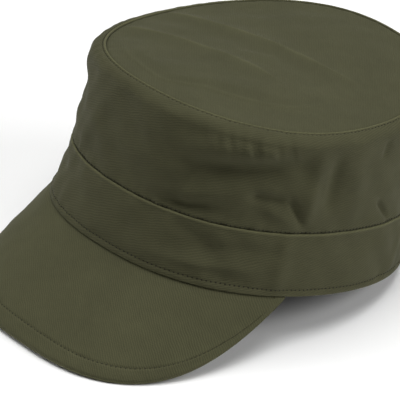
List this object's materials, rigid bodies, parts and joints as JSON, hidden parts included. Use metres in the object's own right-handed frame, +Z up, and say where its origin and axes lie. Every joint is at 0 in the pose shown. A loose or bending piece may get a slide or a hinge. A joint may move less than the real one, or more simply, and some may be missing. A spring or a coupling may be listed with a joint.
{
  "type": "military peaked cap",
  "caption": "Soft flat-topped field cap of olive twill, with a sewn band, a curved stitched visor and a tab closure at the back.",
  "frame": {"origin": "on the table, under the middle of the cap's bounding box, with the cap standing on the edge of its visor and on the rear corners of its hem", "axes": "+X to the wearer's left, +Y to the rear (the visor points to -Y), +Z up; the cap stands nose-up, so its hem plane is tilted 12.8 degrees about X"},
  "size_m": [0.176, 0.2578, 0.1239],
  "materials": {
    "twill": "matt cotton twill, olive",
    "tape": "matt woven cotton tape, olive",
    "sweatband_cloth": "matt cotton, olive",
    "interlining": "stiff unbleached woven interlining",
    "board": "flexible polyethylene sheet",
    "loop_pile": "soft loop pile, olive",
    "hook_nylon": "moulded nylon hooks on tape, olive",
    "label_cloth": "woven white label, blank",
    "thread": "sewing thread, olive"
  },
  "bodies": {
    "cap": {"crown_top": "twill", "crown_side": "twill", "crown_front_interlining": "interlining", "crown_seam_tape": "tape", "back_seam_tape": "tape", "band_outer": "twill", "band_interlining": "interlining", "sweatband": "sweatband_cloth", "visor_cover_top": "twill", "visor_board": "board", "visor_cover_bottom": "twill", "arch_binding": "tape", "loop_tab": "twill", "loop_patch": "loop_pile", "care_label": "label_cloth", "visor_thread": "thread", "hem_thread": "thread", "band_top_thread": "thread", "crown_thread": "thread"},
    "hook_flap": {"hook_tab": "twill", "hook_patch": "hook_nylon"}
  },
  "joints": [
    {"name": "tab_peel", "type": "hinge", "parent": "cap", "child": "hook_flap", "pos_m": [-0.04231, 0.10305, 0.00337], "axis": [0.4061, 0.4251, 0.8089], "range_deg": [0, 100], "stiffness_Nm_per_rad": 0.0006}
  ]
}
